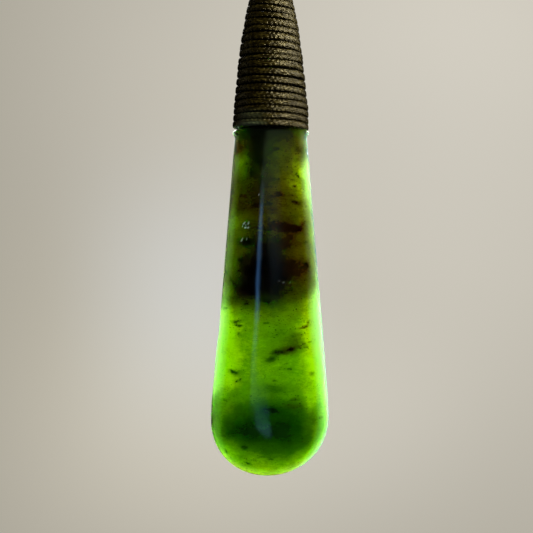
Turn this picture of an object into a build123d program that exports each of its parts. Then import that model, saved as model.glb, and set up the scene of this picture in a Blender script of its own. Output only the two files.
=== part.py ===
from build123d import *

import os
from math import cos, radians, sqrt

# Teardrop pendant: a polished greenstone drop whose neck is whipped with waxed cord, hung by a loop of
# the same cord. Millimetres. +Z is up and -Y is the front. The origin is the point inside the hanging
# loop where the necklace or hook that carries the pendant bears.

# Cord, the same for the whipping and for the hanging loop
cord_diameter = 1.1  # across a whipped turn
turn_pitch = 1.0  # the turns are pressed into each other by the difference
turn_contact = 0.55  # how broad the flat is where two pressed turns meet
strand_diameter = 1.0  # the loop's two strands are drawn tighter
strand_spacing = 0.96  # between the middles of the two strands
cord_gap = 0.05  # between cord and stone, and between the loop and the whipping

# Hanging loop
eye_width = 6.0  # clear width inside the loop
eye_straight = 1.6  # straight sides below the round top of the eye
eye_height = 9.0  # from the bearing point down to the whipping
hole_bend = 1.2  # bend of the strands where they leave the drilled hole
pinch_bend = 2.0  # bend where they leave the whipping
eye_bend = 3.0  # bend where the eye's straight sides start

# Whipping: its outer radius falls from the shoulder of the stone to the cords at the top
whip_height = 22.0
whip_radius = 5.45
whip_profile = [
    # share of whip_height, share of whip_radius
    (0.00, 1.000),
    (0.14, 0.975),
    (0.30, 0.908),
    (0.45, 0.845),
    (0.61, 0.758),
    (0.77, 0.638),
    (0.86, 0.556),
    (0.93, 0.500),
    (1.00, 0.470),
]

# Drop: straight tapering sides that run into a round end
drop_length = 49.3  # from the shoulder under the whipping to the tip
shoulder_width = 10.1
shoulder_depth = 9.4
belly_width = 16.8
belly_depth = 10.6
round_height = 8.2  # from the tip up to the widest level
tip_lean = 0.6  # the tip stands this far to the left of the axis
lean_height = 18.0  # the lean starts this far above the tip
shoulder_round = 0.35

# Neck of the stone, hidden in the whipping, with the drilled hole that the loop passes through
neck_height = 15.5
neck_top_round = 1.0
hole_diameter = 2.4
hole_height = 9.5  # from the shoulder up to the hole's axis

whip_top = -eye_height
shoulder_level = whip_top - whip_height
tip_level = shoulder_level - drop_length
hole_level = shoulder_level + hole_height
strand_radius = strand_diameter / 2
cord_radius = cord_diameter / 2

os.makedirs("parts", exist_ok=True)


def taper_slope(shoulder_size, belly_size):
    """How much half the drop's width or depth shrinks for each millimetre up its straight side."""
    return (belly_size - shoulder_size) / 2 / (drop_length - round_height)


def drop_half(height, shoulder_size, belly_size):
    """Half the drop's width or depth at a height above the tip: an ellipse, tangent to a straight side."""
    side = belly_size / 2
    slope = taper_slope(shoulder_size, belly_size)
    if height >= round_height + slope * round_height**2 / side:
        return side - slope * (height - round_height)
    round_half = sqrt(side**2 - (slope * round_height) ** 2)
    return round_half * sqrt(1 - ((round_height - height) / round_height) ** 2)


def lean(height):
    """How far the middle of a section stands to the left, growing as a square towards the tip."""
    return -tip_lean * max(0, 1 - height / lean_height) ** 2


def drop_section(height):
    with BuildSketch(Plane.XY.offset(tip_level + height)) as section:
        with Locations((lean(height), 0)):
            Ellipse(
                drop_half(height, shoulder_width, belly_width),
                drop_half(height, shoulder_depth, belly_depth),
            )
    return section.sketch


def whip_points(inset):
    """The whipping's outer profile, as radius and level, moved inwards by inset."""
    return [
        (whip_radius * radius_share - inset, shoulder_level + whip_height * height_share)
        for height_share, radius_share in whip_profile
    ]


def whip_outer(height):
    """The whipping's outer radius at a height above the shoulder, straight between the table's rows."""
    share = height / whip_height
    for (low, low_radius), (high, high_radius) in zip(whip_profile, whip_profile[1:]):
        if share <= high:
            return whip_radius * (low_radius + (high_radius - low_radius) * (share - low) / (high - low))
    return whip_radius * whip_profile[-1][1]


# Drop: a round end and a straight taper, joined where the ellipse's slope has become the taper's
join_height = round_height * (1 + 2 * taper_slope(shoulder_width, belly_width) * round_height / belly_width)
end_angles = (15, 35, 55, 74)  # round the ellipse from the tip
end_heights = [round_height * (1 - cos(radians(angle))) for angle in end_angles] + [join_height]
taper_shares = (0, 0.2, 0.4, 0.6, 0.8, 1)
taper_heights = [join_height + share * (drop_length - join_height) for share in taper_shares]

with BuildPart() as drop_end:
    loft([Vertex(lean(0), 0, tip_level)] + [drop_section(height) for height in end_heights])

with BuildPart() as drop_taper:
    loft([drop_section(height) for height in taper_heights])
    chamfer(drop_taper.edges().group_by(Axis.Z)[-1], length=shoulder_round)

# Neck: it fills the whipping from just below the shoulder, and its upper edge is rounded
neck_side = whip_points(inset=cord_diameter + cord_gap)
neck_foot = shoulder_level - shoulder_round

with BuildPart() as neck:
    with BuildSketch(Plane.XZ):
        with BuildLine():
            Spline(neck_side)
            Polyline(neck_side[-1], (0, whip_top), (0, neck_foot), (neck_side[0][0], neck_foot), neck_side[0])
        make_face()
    revolve(axis=Axis.Z)
    split(bisect_by=Plane.XY.offset(shoulder_level + neck_height), keep=Keep.BOTTOM)
    fillet(neck.edges().group_by(Axis.Z)[-1], radius=neck_top_round)

# Where the strands lie, as distances of their middles from the axis
leg_at_hole = whip_outer(hole_height) - cord_diameter - 2 * cord_gap - strand_radius
leg_at_top = strand_radius + cord_gap / 2
eye_side = eye_width / 2 + strand_radius
groove_inset = strand_radius + cord_gap
groove_width = strand_spacing + strand_diameter + 2 * cord_gap
groove_foot = hole_level - strand_radius - cord_gap

# Stone: drop and neck in one, drilled from front to back, with a groove up each face for the strands
with BuildPart() as jade_drop:
    add(drop_end.part)
    add(drop_taper.part)
    add(neck.part)
    with BuildSketch(Plane.XZ):
        with Locations((0, hole_level)):
            Circle(hole_diameter / 2)
    extrude(amount=whip_radius, both=True, mode=Mode.SUBTRACT)
    with BuildSketch(Plane.YZ):
        with BuildLine():
            Polyline(
                (leg_at_hole - groove_inset, groove_foot),
                (whip_radius, groove_foot),
                (whip_radius, whip_top),
                (leg_at_top - groove_inset, whip_top),
                close=True,
            )
        make_face()
        mirror(about=Plane.YZ)
    extrude(amount=groove_width / 2, both=True, mode=Mode.SUBTRACT)
jade_drop.part.label = "jade_drop"

# Hanging loop: two strands side by side, through the hole, up both faces of the neck and round the eye
with BuildPart() as hanging_loop:
    with BuildLine(Plane.YZ) as loop_half:
        FilletPolyline(
            (0, hole_level),
            (leg_at_hole, hole_level),
            (leg_at_top, whip_top),
            (eye_side, -eye_width / 2 - eye_straight),
            (eye_side, -eye_width / 2),
            radius=[hole_bend, pinch_bend, eye_bend],
        )
        CenterArc((0, -eye_width / 2), eye_side, 0, 90)
    with BuildSketch(Plane(origin=(0, 0, hole_level), x_dir=(1, 0, 0), z_dir=(0, 1, 0))):
        with GridLocations(strand_spacing, 0, 2, 1):
            Circle(strand_radius)
    sweep(path=loop_half.wires()[0])
    mirror(about=Plane.XZ)
hanging_loop.part.label = "hanging_loop"

# Whipping: turns of cord laid side by side up the profile, pressed together along a narrow flat
with BuildPart() as cord_whipping:
    with BuildSketch(Plane.XZ):
        with BuildLine(mode=Mode.PRIVATE) as whip_middle:
            Spline(whip_points(inset=cord_radius))
        whole = whip_middle.edges()[0]
        run = whole.trim((cord_radius + cord_gap) / whole.length, 1 - cord_radius / whole.length)
        steps = round(run.length / turn_pitch)
        with Locations([run @ (step / steps) for step in range(steps + 1)]):
            Circle(cord_radius)
        trace(run, line_width=turn_contact)
    revolve(axis=Axis.Z)
cord_whipping.part.label = "cord_whipping"

for piece in (jade_drop, hanging_loop, cord_whipping):
    export_step(piece.part, f"parts/{piece.part.label}.step")
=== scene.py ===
"""A greenstone drop hung by a waxed cord, in front of a pale studio sweep.

Every shape is a surface of two parameters, worked out with numpy as whole arrays: the stone by its height
and the angle round it, a cord by the distance along its middle line and the angle round its section.
Metres. +Z is up and -Y is the front. The origin is the bearing point inside the hanging loop.
"""

import math

import bmesh
import bpy
import numpy as np
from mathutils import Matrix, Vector


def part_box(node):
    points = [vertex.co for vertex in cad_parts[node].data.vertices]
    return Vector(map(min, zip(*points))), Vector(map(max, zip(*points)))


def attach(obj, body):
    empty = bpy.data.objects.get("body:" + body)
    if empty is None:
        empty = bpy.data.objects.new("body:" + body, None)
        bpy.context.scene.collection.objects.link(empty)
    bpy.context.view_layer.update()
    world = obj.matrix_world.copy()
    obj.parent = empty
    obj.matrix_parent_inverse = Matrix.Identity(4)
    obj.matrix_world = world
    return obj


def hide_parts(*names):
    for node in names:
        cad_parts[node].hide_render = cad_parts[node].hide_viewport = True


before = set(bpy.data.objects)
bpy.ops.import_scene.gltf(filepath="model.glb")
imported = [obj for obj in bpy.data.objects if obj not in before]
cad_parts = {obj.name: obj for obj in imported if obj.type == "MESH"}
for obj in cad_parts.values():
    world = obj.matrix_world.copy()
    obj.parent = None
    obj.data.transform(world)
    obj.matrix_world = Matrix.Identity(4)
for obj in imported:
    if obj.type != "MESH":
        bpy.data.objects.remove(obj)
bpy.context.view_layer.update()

MM = 0.001

# Levels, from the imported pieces
stone_low, stone_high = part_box("jade_drop")
whip_low, whip_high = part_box("cord_whipping")
TIP = stone_low.z
NECK_TOP = stone_high.z
WHIP_TOP = whip_high.z
CORD_GAP = 0.05 * MM
SHOULDER = whip_low.z - CORD_GAP
DROP_LENGTH = SHOULDER - TIP
WHIP_HEIGHT = WHIP_TOP - SHOULDER

# Stone
SHOULDER_WIDTH = 10.1 * MM
SHOULDER_DEPTH = 9.4 * MM
BELLY_WIDTH = 16.8 * MM
BELLY_DEPTH = 10.6 * MM
ROUND_HEIGHT = 8.2 * MM
TIP_LEAN = 0.5 * MM
LEAN_HEIGHT = 18 * MM
END_POWER = 2.06  # of the round end; 2 is a true ellipse
LEFT_SWELL = 0.15 * MM  # of the left side above the round end
SWELL_RISES = (8 * MM, 11 * MM)  # above the tip
SWELL_FALLS = (18 * MM, 21 * MM)
SHOULDER_ROUND = 0.5 * MM
SHOULDER_LIP = 0.36 * MM  # the stone stands out under the shoulder, at its two sides
LIP_DROP = 0.5 * MM
LIP_HALF_HEIGHT = 0.32 * MM
LIP_FLANK = (0.7, 0.95)  # by the sine of the angle round the stone
NECK_TOP_ROUND = 1 * MM
HOLE_DIAMETER = 2.4 * MM
HOLE_LEVEL = SHOULDER + 9.5 * MM
STONE_COLUMNS = 280
END_ROWS = 70
TAPER_ROWS = 225
ROUND_ROWS = 9
NECK_ROWS = 40
HOLE_COLUMNS = 48

# Cord
CORD_DIAMETER = 1.1 * MM
CORD_SIDES = 16
SIDES_CROWD = 0.4  # how much closer they stand on the cord's outer side
OVAL_POWERS = (0.5, 0.7)  # 1 is a true ellipse
PICK_LENGTH = 0.62 * MM
PICK_WANDER = 1.2  # radians
PICK_NOISE = 4 * MM
ROW_POWER = 1.4  # above 1, a row of bumps is narrower
BRAID_RELIEF = 0.045 * MM
RELIEF_MEAN = 0.75
RELIEF_VARIES = 0.45
RELIEF_NOISE = 1.6 * MM
RELIEF_LEVEL = 0.45  # of a bump, where the cord has its plain size
CREASE_SHADE_EDGE = (0.7, 1.25)  # radians round the section, over which a painted shade darkens the cord towards where two turns meet

# Hanging loop
STRAND_DIAMETER = 1 * MM
STRAND_SPACING = 0.96 * MM
STRAND_SWAY = 0.02 * MM
SWAYS = 9  # along the whole loop
LEG_AT_HOLE = 2.946 * MM  # from the axis to the strands' middle
LEG_AT_TOP = (STRAND_DIAMETER + CORD_GAP) / 2
GROOVE_INSET = STRAND_DIAMETER / 2 + CORD_GAP
GROOVE_WIDTH = STRAND_SPACING + STRAND_DIAMETER + 2 * CORD_GAP
LOOP_ROWS = 900
SPLINE_STEPS = 40  # between two corners of the route

# Whipping
WHIP_RADIUS = 5.45 * MM
WHIP_ROWS = 5900
WHIP_START = -0.3  # the cord's lower end, in turns
WHIP_END = 1.02  # its upper end, in turns before the table's end
START_SLOPE = 0.9 * MM  # how much lower a turn before the first would lie
START_SINK = 0.25 * MM  # how far the cord may reach below the shoulder
TUCK_TURNS = 0.08  # the cord's ends dip inwards here
TUCK_DEPTH = 0.9 * MM
TURN_PRESS = 0.02 * MM  # each turn is pressed this far into the next
MEAN_RADIUS = 0.8 * WHIP_RADIUS
GAP_VARIES = 0.7
GAP_NOISE = (14 * MM, 21)  # length of the bumps, seed
LEVEL_VARIES = 0.05 * MM
LEVEL_NOISE = (9 * MM, 22)
RADIUS_VARIES = 0.05 * MM
RADIUS_NOISE = (11 * MM, 23)
CALM_END = 1.5 * MM  # the turns waver less this near the ends
PRESSED_GAP = 0.85  # how much narrower the upper gaps are at the sides
PRESSED_TURNS = (9, 12)
PRESSED_SIDES = (0.3, 0.9)  # sines of the angle round the whipping
SLOPE_REACH = 0.3 * MM
# Painted green glow of the stone on the lowest turns of the cord, at the front left
STONE_GLOW_ON_CORD = [(0.26, 1.9 * MM, 2.6 * MM), (0.74, 0.36 * MM, 0.66 * MM)]  # strength, heights where it fades
STONE_GLOW_LEFT = (-5.2 * MM, -3.8 * MM)
STONE_GLOW_RIGHT = (-3.4 * MM, 0.2 * MM)
WHIP_PROFILE = np.array([
    # share of the whipping's height, share of its largest radius
    (0, 1), (0.14, 0.975), (0.3, 0.908), (0.45, 0.845), (0.61, 0.758), (0.77, 0.638),
    (0.86, 0.556), (0.93, 0.5), (1, 0.47),
])
# The turns as they were wound, from the stone upwards; the last four are evenly spaced
TURNS = np.array([
    # height, gap under it
    (0.945, 0), (0.945, 0.06), (0.973, 0.12), (0.889, 0.08), (1.016, 0.06), (1.128, 0.16),
    (1.142, 0.18), (1.157, 0.18), (1.114, 0.15), (0.748, 0.05), (0.874, 0.04), (1.114, 0.15),
    (1.142, 0.17), (0.945, 0.17), (1.086, 0.08), (0.917, 0.1), (0.987, 0.13), (0.976, 0.13),
] + [(0.976, 0.1)] * 4) * MM
# How much lower a turn lies on the right than on the left
TURN_LEANS = np.array([
    # height above the shoulder, half the difference
    (0, 0.04), (3, -0.02), (8, 0), (9.8, -0.18), (10.7, 0.15), (11.8, -0.1), (12.9, 0.02),
    (16, 0.1), (19, 0.15), (22, 0.1),
])

# Half of the hanging loop's route, from the middle of the drilled hole to the top of the eye
LOOP_ROUTE = [
    # y, z
    (0, -21.5), (1.5, -21.5), (2.7, -21.55), (3, -20.9), (2.62, -19.5), (2.27, -18), (1.69, -15),
    (1.11, -12), (0.7, -10), (0.42, -9), (0.85, -8.2), (2, -6.75), (3.15, -5.4), (3.66, -4.2),
    (3.66, -3), (3.17, -1.17), (1.83, 0.17), (0, 0.66),
]


# Meshes

OCTAVE_WAVES = 5
OCTAVE_FALL = 0.55  # each octave of noise is weaker by this
OCTAVE_FINER = 1.9  # and its waves are shorter by this
WAVES_PEAK = 2.2  # how high one octave's waves reach together


def surface(name, points, attributes, closed_rows=False):
    """A mesh of quads on a grid of points (rows, columns, 3), whose columns, and rows if said, close.

    A row of points that are all one is a pole. Attributes are arrays (rows, columns).
    """
    rows, columns = points.shape[:2]
    index = np.arange(rows * columns).reshape(rows, columns)
    low = index if closed_rows else index[:-1]
    high = np.roll(index, -1, axis=0) if closed_rows else index[1:]
    quads = np.stack([low, np.roll(low, -1, axis=1), np.roll(high, -1, axis=1), high], axis=-1)
    mesh = bpy.data.meshes.new(name)
    mesh.from_pydata(points.reshape(-1, 3), [], quads.reshape(-1, 4))
    for key, values in attributes.items():
        layer = mesh.attributes.new(key, "FLOAT", "POINT")
        layer.data.foreach_set("value", np.ascontiguousarray(values, np.float32).ravel())
    mesh.update()
    piece = bpy.data.objects.new(name, mesh)
    bpy.context.scene.collection.objects.link(piece)
    return piece


def close_mesh(piece):
    """Merges the points of each pole and turns every face outwards."""
    work = bmesh.new()
    work.from_mesh(piece.data)
    bmesh.ops.remove_doubles(work, verts=work.verts, dist=0.0005 * MM)
    bmesh.ops.dissolve_degenerate(work, edges=work.edges, dist=0.0001 * MM)
    bmesh.ops.recalc_face_normals(work, faces=work.faces)
    work.to_mesh(piece.data)
    work.free()
    piece.data.shade_smooth()
    return piece


def wave_noise(points, size, seed, octaves=3):
    """Smooth noise from -1 to 1: a sum of sine waves in seeded directions, finer and weaker each octave."""
    random = np.random.default_rng(seed)
    total = np.zeros(points.shape[:-1])
    weight = 0
    for octave in range(octaves):
        strength = OCTAVE_FALL ** octave
        for _ in range(OCTAVE_WAVES):
            direction = random.normal(size=3)
            direction *= math.tau * OCTAVE_FINER ** octave / size / np.linalg.norm(direction)
            total += strength * np.sin(points @ direction + random.uniform(0, math.tau))
        weight += strength * WAVES_PEAK
    return np.clip(total / weight, -1, 1)


def line_noise(run, size, seed):
    """Smooth noise from -1 to 1 along a line, whose bumps are about size long."""
    return wave_noise(np.stack([run, run * 0, run * 0], axis=-1), size / 1.6, seed, 2)


def soft_step(value, low, high):
    """0 below low, 1 above high, and 3t squared less 2t cubed between them."""
    t = np.clip((value - low) / (high - low), 0, 1)
    return t * t * (3 - 2 * t)


def soft_fall(value, low, high):
    """1 below low, 0 above high, and as smooth between them."""
    return soft_step(-value, -high, -low)


# Stone

def drop_half(height, shoulder_size, belly_size):
    """Half the drop's width or depth at a height above the tip: an ellipse, tangent to a straight side."""
    side = belly_size / 2
    slope = (belly_size - shoulder_size) / 2 / (DROP_LENGTH - ROUND_HEIGHT)
    round_half = math.sqrt(side**2 - (slope * ROUND_HEIGHT) ** 2)
    drop = np.clip((ROUND_HEIGHT - height) / ROUND_HEIGHT, 0, 1)
    ellipse = round_half * (1 - drop**END_POWER) ** (1 / END_POWER)
    straight = side - slope * (height - ROUND_HEIGHT)
    return np.where(height >= ROUND_HEIGHT * (1 + slope * ROUND_HEIGHT / side), straight, ellipse)


def lean(height):
    """How far the middle of a section stands to the left, growing as a square towards the tip."""
    return -TIP_LEAN * np.clip(1 - height / LEAN_HEIGHT, 0, 1) ** 2


def whip_outer(height):
    """The whipping's outer radius at a height above the shoulder: a cubic through the profile's rows.

    Each row's slope is the mean of its two neighbouring slopes.
    """
    share, radius = WHIP_PROFILE.T
    slope = np.gradient(radius, share)
    at = np.clip(np.asarray(height) / WHIP_HEIGHT, 0, 1)
    cell = np.clip(np.searchsorted(share, at) - 1, 0, len(share) - 2)
    width = share[cell + 1] - share[cell]
    t = (at - share[cell]) / width
    value = (
        (2 * t**3 - 3 * t**2 + 1) * radius[cell]
        + (t**3 - 2 * t**2 + t) * width * slope[cell]
        + (3 * t**2 - 2 * t**3) * radius[cell + 1]
        + (t**3 - t**2) * width * slope[cell + 1]
    )
    return WHIP_RADIUS * value


def stone_profile():
    """The stone's rows from tip to neck: height above the tip, half width, half depth and lean of each.

    The drop follows drop_half and the neck follows the whipping, inset by the cord. The shoulder and the
    neck's top are rounded by quarter circles.
    """
    turn = np.linspace(0, math.pi / 2, ROUND_ROWS)[1:]
    inwards = 1 - np.cos(turn)
    below = 1 - np.sin(turn)
    end = ROUND_HEIGHT * (1 - np.cos(np.linspace(0, math.pi / 2, END_ROWS)))
    taper = np.linspace(ROUND_HEIGHT, DROP_LENGTH - SHOULDER_ROUND, TAPER_ROWS)[1:]
    drop = np.concatenate([end, taper])
    neck_height = NECK_TOP - SHOULDER
    rise = np.linspace(0, neck_height - NECK_TOP_ROUND, NECK_ROWS)
    side = whip_outer(rise) - (CORD_DIAMETER + CORD_GAP)
    neck = np.concatenate([side, side[-1] - NECK_TOP_ROUND * inwards, [0]])
    rise = np.concatenate([rise, neck_height - NECK_TOP_ROUND * below, [neck_height]])
    heights = np.concatenate([drop, DROP_LENGTH - SHOULDER_ROUND * below, DROP_LENGTH + rise])
    sizes = ((SHOULDER_WIDTH, BELLY_WIDTH), (SHOULDER_DEPTH, BELLY_DEPTH))
    halves = (drop_half(drop, *pair) for pair in sizes)
    width, depth = (np.concatenate([half, half[-1] - SHOULDER_ROUND * inwards, neck]) for half in halves)
    swell = LEFT_SWELL / 2 * soft_step(heights, *SWELL_RISES) * soft_fall(heights, *SWELL_FALLS)
    return heights, width + swell, depth, lean(heights) - swell


# The tone of the clear stone round the marks, in percent, by height above the tip
# On the flanks a painted glow of the light behind takes the darkness from the middle column to the flank
# columns
ZONES = np.array([
    # height, dark in the middle, dark on the left flank, dark on the right flank, rust, darkening of the
    # outermost rims
    (0, 8, 4, 4, 50, 0), (1, 12, 6, 5, 45, 0), (2, 18, 8, 5, 32, 0), (3, 22, 5, 2, 20, 0),
    (4.4, 42, 5, 2, 10, 5), (6.5, 58, 20, 2, 6, 25), (8.6, 56, 28, 2, 5, 45), (10.6, 46, 29, 6, 0, 30),
    (12.7, 30, 7, 4, 0, 8), (15, 23, 0, 0, 0, 0), (19, 21, 0, 0, 2, 0), (22, 26, 2, 0, 14, 3),
    (25, 40, 22, 14, 30, 15), (28, 62, 46, 42, 50, 30), (31, 68, 52, 50, 62, 38),
    (37, 72, 58, 40, 74, 38), (40, 72, 68, 32, 78, 45), (43, 68, 56, 28, 68, 30),
    (46, 71, 58, 42, 64, 30), (47.5, 80, 62, 50, 60, 30), (49, 93, 72, 58, 35, 30),
])

# Soft ellipses on the stone: place in mm, half sizes in hundredths of a mm, shades in percent, and the tilt
# in degrees where there is one

# Regions where fine dark specks lie close together
DUST = [
    # right of the axis, above the tip, half length, half height, strength, tilt
    (-4.8, 25, 220, 120, 90), (-4.5, 22, 200, 150, 70), (4.4, 25, 220, 140, 90),
    (4.9, 21.5, 160, 180, 100), (1, 22, 200, 150, 40), (3.8, 18.6, 200, 80, 70, 10),
    (1.5, 16.2, 200, 80, 50), (5.6, 31.5, 80, 500, 80), (4.6, 37, 100, 400, 50),
    (3.2, 11, 160, 100, 70), (-5.8, 11.3, 140, 60, 50), (-2, 3.2, 350, 100, 60, -8),
    (-3.3, 45, 150, 300, 90), (0.5, 42, 250, 400, 65), (-3.3, 39.5, 200, 350, 85),
    (3.5, 41.5, 220, 500, 85), (3.5, 31.5, 200, 160, 50),
]

# Marks that reach part of the way through the stone. One whose darkness is negative is a clearer patch.
MARKS = [
    # right of the axis, above the tip, half length, half height, dark, rust, tilt
    # under the whipping
    (-1.5, 48.6, 100, 50, 80, 10), (-2.6, 48.3, 320, 60, 50, 10), (-1.5, 45.9, 150, 230, 78, 5, 4),
    (-4.9, 46.4, 60, 80, 90, 100), (-3.4, 46.8, 90, 80, 40, 90), (-3.9, 44.9, 90, 90, -60, 60, 20),
    (-2.9, 45.2, 25, 20, 60, 10), (-1.4, 44.2, 40, 35, 85, 40), (-2.5, 42.75, 34, 26, 100, 20, -20),
    (-4.2, 43.3, 70, 80, -25, 20), (-3.8, 44, 16, 12, 75, 30), (-3.4, 44.1, 18, 12, 75, 30, -30),
    (0.7, 46.1, 40, 17, 75, 30), (3.75, 46.1, 55, 40, 60, 80, -20), (1.3, 44, 180, 220, -10, 50),
    # the upper third
    (4.7, 46.2, 60, 80, 35, 90), (4.2, 43.9, 90, 110, -15, 80), (3.9, 41.5, 150, 210, -55, 70),
    (2.2, 41.4, 120, 100, -20, 80), (-1.4, 41, 130, 260, 55, 50), (-3.6, 40.6, 130, 160, 15, 10),
    (3.8, 42.4, 38, 13, 100, 0, -40), (1.95, 41.9, 22, 11, 50, 40), (2.9, 41.9, 20, 9, 40, 30),
    (3.2, 41, 17, 12, 70, 60), (0.3, 41.9, 90, 30, 30, 10), (-3.9, 39.6, 50, 17, 60, 100),
    (-3.2, 38.4, 190, 90, 15, 70), (1.15, 39.8, 45, 25, 75, 100), (0.6, 39.6, 70, 15, 35, 60),
    (2.9, 39.7, 50, 17, 30, 100), (3.5, 38.7, 70, 25, 72, 70, -12), (5, 38.2, 12, 14, 50, 30),
    (5.75, 37, 10, 12, 60, 20), (-1.9, 38.3, 50, 20, 85, 60), (-0.4, 38.5, 50, 20, 85, 10, 5),
    (3, 37.5, 130, 70, -25, 60), (-0.4, 36.3, 25, 22, 85, 30), (-0.4, 34.9, 25, 20, 75, 30),
    (-4.6, 35.9, 120, 110, -58, 50), (-5.4, 36.9, 15, 15, 70, 10), (1.9, 35.3, 120, 46, 58, 90, -4),
    (3.3, 35.15, 100, 42, 62, 100, 4), (2.6, 34.75, 100, 22, 45, 80, -3),
    (1, 35.45, 140, 40, 42, 80, -3), (3.6, 35, 80, 24, 85, 90, 8), (4.4, 35.75, 70, 30, 60, 100, 35),
    (-3.3, 33.1, 90, 45, 95, 10, 5), (-3.4, 35.45, 70, 60, 55, 10), (-4, 33.5, 50, 30, 60, 10),
    (2.5, 33.8, 90, 35, 50, 100, 30), (1.9, 32.7, 70, 45, 65, 100, 20), (2.7, 33, 170, 150, 30, 90),
    (5, 33.3, 20, 15, 60, 50), (4.4, 32.6, 100, 160, -15, 80),
    # the dark heart
    (-1.3, 30.4, 140, 340, 85, 35), (-2.6, 28.2, 180, 210, 97, 25), (-3.1, 27.1, 100, 90, 97, 15),
    (0.2, 29.4, 120, 330, 95, 15), (0.9, 28.1, 160, 120, 88, 30), (-2.6, 30.6, 130, 120, 45, 60),
    (2.3, 29.4, 200, 120, 80, 95), (4.4, 29.1, 100, 70, 22, 100, -10), (4.85, 30.1, 30, 30, 100, 90),
    (5.5, 27.5, 90, 80, 20, 90), (4.8, 30.1, 70, 60, 42, 100), (3, 26.3, 250, 90, 42, 75, 8),
    (2, 25.3, 130, 60, 28, 45), (-4.3, 30.7, 33, 17, 90, 0), (-6.2, 29, 20, 20, 80, 0),
    (-5.4, 27.7, 110, 16, 70, 20, -53), (-5.6, 31, 60, 300, -15, 10), (-0.3, 25.7, 190, 80, 42, 0),
    (-4.4, 25.2, 190, 90, 50, 50), (-4, 26.3, 90, 90, 30, 60), (-4.5, 26.2, 80, 70, 34, 70),
    (-5.5, 27.4, 90, 80, 22, 50), (-0.5, 25, 50, 25, 70, 0, -30), (-6.4, 23.9, 30, 15, 75, 0),
    # the clear belt
    (2.8, 23.4, 240, 120, 10, 55), (3.5, 19.6, 140, 80, 20, 80, 20), (3.2, 21.7, 110, 80, -12, 40),
    (-4.9, 22.1, 60, 12, 55, 30, 5), (-4.6, 21.6, 50, 10, 75, 20, -8), (-4.4, 20.4, 20, 12, 60, 10),
    (-3.4, 24.6, 20, 15, 75, 0), (-0.7, 22, 35, 12, 45, 10), (4.7, 21.4, 50, 13, 65, 90, 14),
    (5.3, 22, 22, 15, 50, 100), (2.2, 18.2, 240, 65, 20, 30, 8), (2.4, 18.2, 80, 34, 55, 60, 2),
    (2.9, 18.35, 50, 26, 65, 70, 6), (1.5, 17.95, 60, 22, 65, 30, -6), (0.8, 17.8, 50, 28, 68, 20, 4),
    (3.9, 18.65, 35, 14, 45, 50, -4), (4.6, 19.1, 22, 12, 35, 70, 10), (4.9, 18.6, 20, 10, 30, 70),
    (5.4, 19.3, 18, 16, 30, 80, 30), (0.2, 17.1, 42, 13, 60, 10, 5), (1.6, 15.7, 30, 10, 40, 10, -10),
    (2.5, 15.6, 22, 9, 40, 10), (2.1, 16.4, 22, 9, 35, 10), (-5.1, 15.1, 75, 25, 45, 10),
    (-5.3, 15.2, 40, 12, 70, 0, -15), (-4.65, 13.9, 12, 10, 90, 0), (-4.25, 14.1, 12, 10, 80, 0),
    (0.6, 14, 22, 12, 45, 10), (0.3, 12.9, 120, 50, 30, 0), (5.7, 14.9, 35, 25, 35, 30),
    (-5.9, 18, 130, 450, -15, 20), (5.9, 20.8, 110, 340, -36, 80), (2.1, 19.9, 200, 160, 20, 5),
    (0, 16.9, 70, 35, 45, 10),
    # the green end
    (1, 7.5, 460, 230, 42, 0), (0, 7.2, 550, 260, 22, 0), (-3.6, 7, 200, 100, 42, 0, 5),
    (-5.5, 6.6, 120, 50, 25, 0, 10), (1.2, 6.7, 130, 75, 35, 0), (5.8, 8, 80, 190, -12, 90),
    (0.2, 9.9, 140, 55, 50, 0), (0.3, 9.9, 70, 22, 45, 0, -6), (4.6, 10.8, 100, 120, -22, 20),
    (3.1, 11.4, 50, 15, 45, 30, 5), (3.1, 10.5, 100, 30, 30, 50), (-6.6, 11.2, 40, 12, 35, 0),
    (-4.2, 4.4, 160, 90, -25, 10, -20), (3.4, 4.7, 150, 90, 20, 10, 15),
    (-3.7, 4.7, 35, 20, 70, 0, -10), (-3.3, 2.3, 40, 11, 100, 0, -18), (-0.1, 3, 30, 13, 50, 0),
    (-1, 3.3, 80, 10, 30, 0), (-6.3, 3.8, 30, 13, 90, 0, -50), (7.7, 10, 15, 13, 80, 0),
    (7, 8.6, 15, 13, 70, 50),
]

# Small chips in the polish, rougher and bumped, with a painted silvery glint
CHIPS_AND_GLINTS = [
    # as in DUST
    (-3.7, 35.85, 20, 9, 85, 30), (-3.15, 35.8, 9, 18, 70), (-3.55, 35.2, 22, 8, 80, -20),
    (-3.15, 35.25, 9, 9, 85), (-3.95, 35.45, 7, 12, 70, 20), (-3.45, 35.5, 7, 7, 45),
    (-4, 33.55, 9, 26, 55, -25), (-3.45, 33.6, 6, 18, 30, 10), (-1.72, 39.8, 16, 5, 50, 50),
    (5.32, 45.9, 14, 24, 90), (1.3, 27.72, 20, 5, 12, -30), (1.75, 27.55, 14, 5, 12),
    (2.75, 27.58, 10, 7, 12),
]

MARK_FRONT = 5.3 * MM  # the marks lie this far in front of the axis
MARK_DEPTH = 2.5 * MM
MARK_DEEPER = 3  # times its half height
CORE_SHARE = 0.55
CORE_EDGE = (0.45, 0.006)  # half sizes, and how much more per hundredth of its half height
HALO_SHARE = 0.45
HALO_REACH = 2.7  # half sizes
CHIP_EDGE = (0.6, 1.4)  # half sizes
CHIP_RAGGED = 0.4
DUST_EDGE = (0.3, 1.5)
RAGGED = [
    # how far noise moves a border, size of its bumps, both in mm, how stretched they are, seed
    (0.3, 3.5, 1, 11),
    (0.2, 2.2, 0.5, 12),
    (0.18, 0.9, 1, 13),
    (0.12, 0.6, 0.6, 14),
]
RAGGED_HEIGHT = 80  # a mark of less half height is less ragged
ZONES_RAGGED = 3
CLEAR_WEIGHT = 0.35  # of the clear stone's rust beside the marks'
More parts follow.
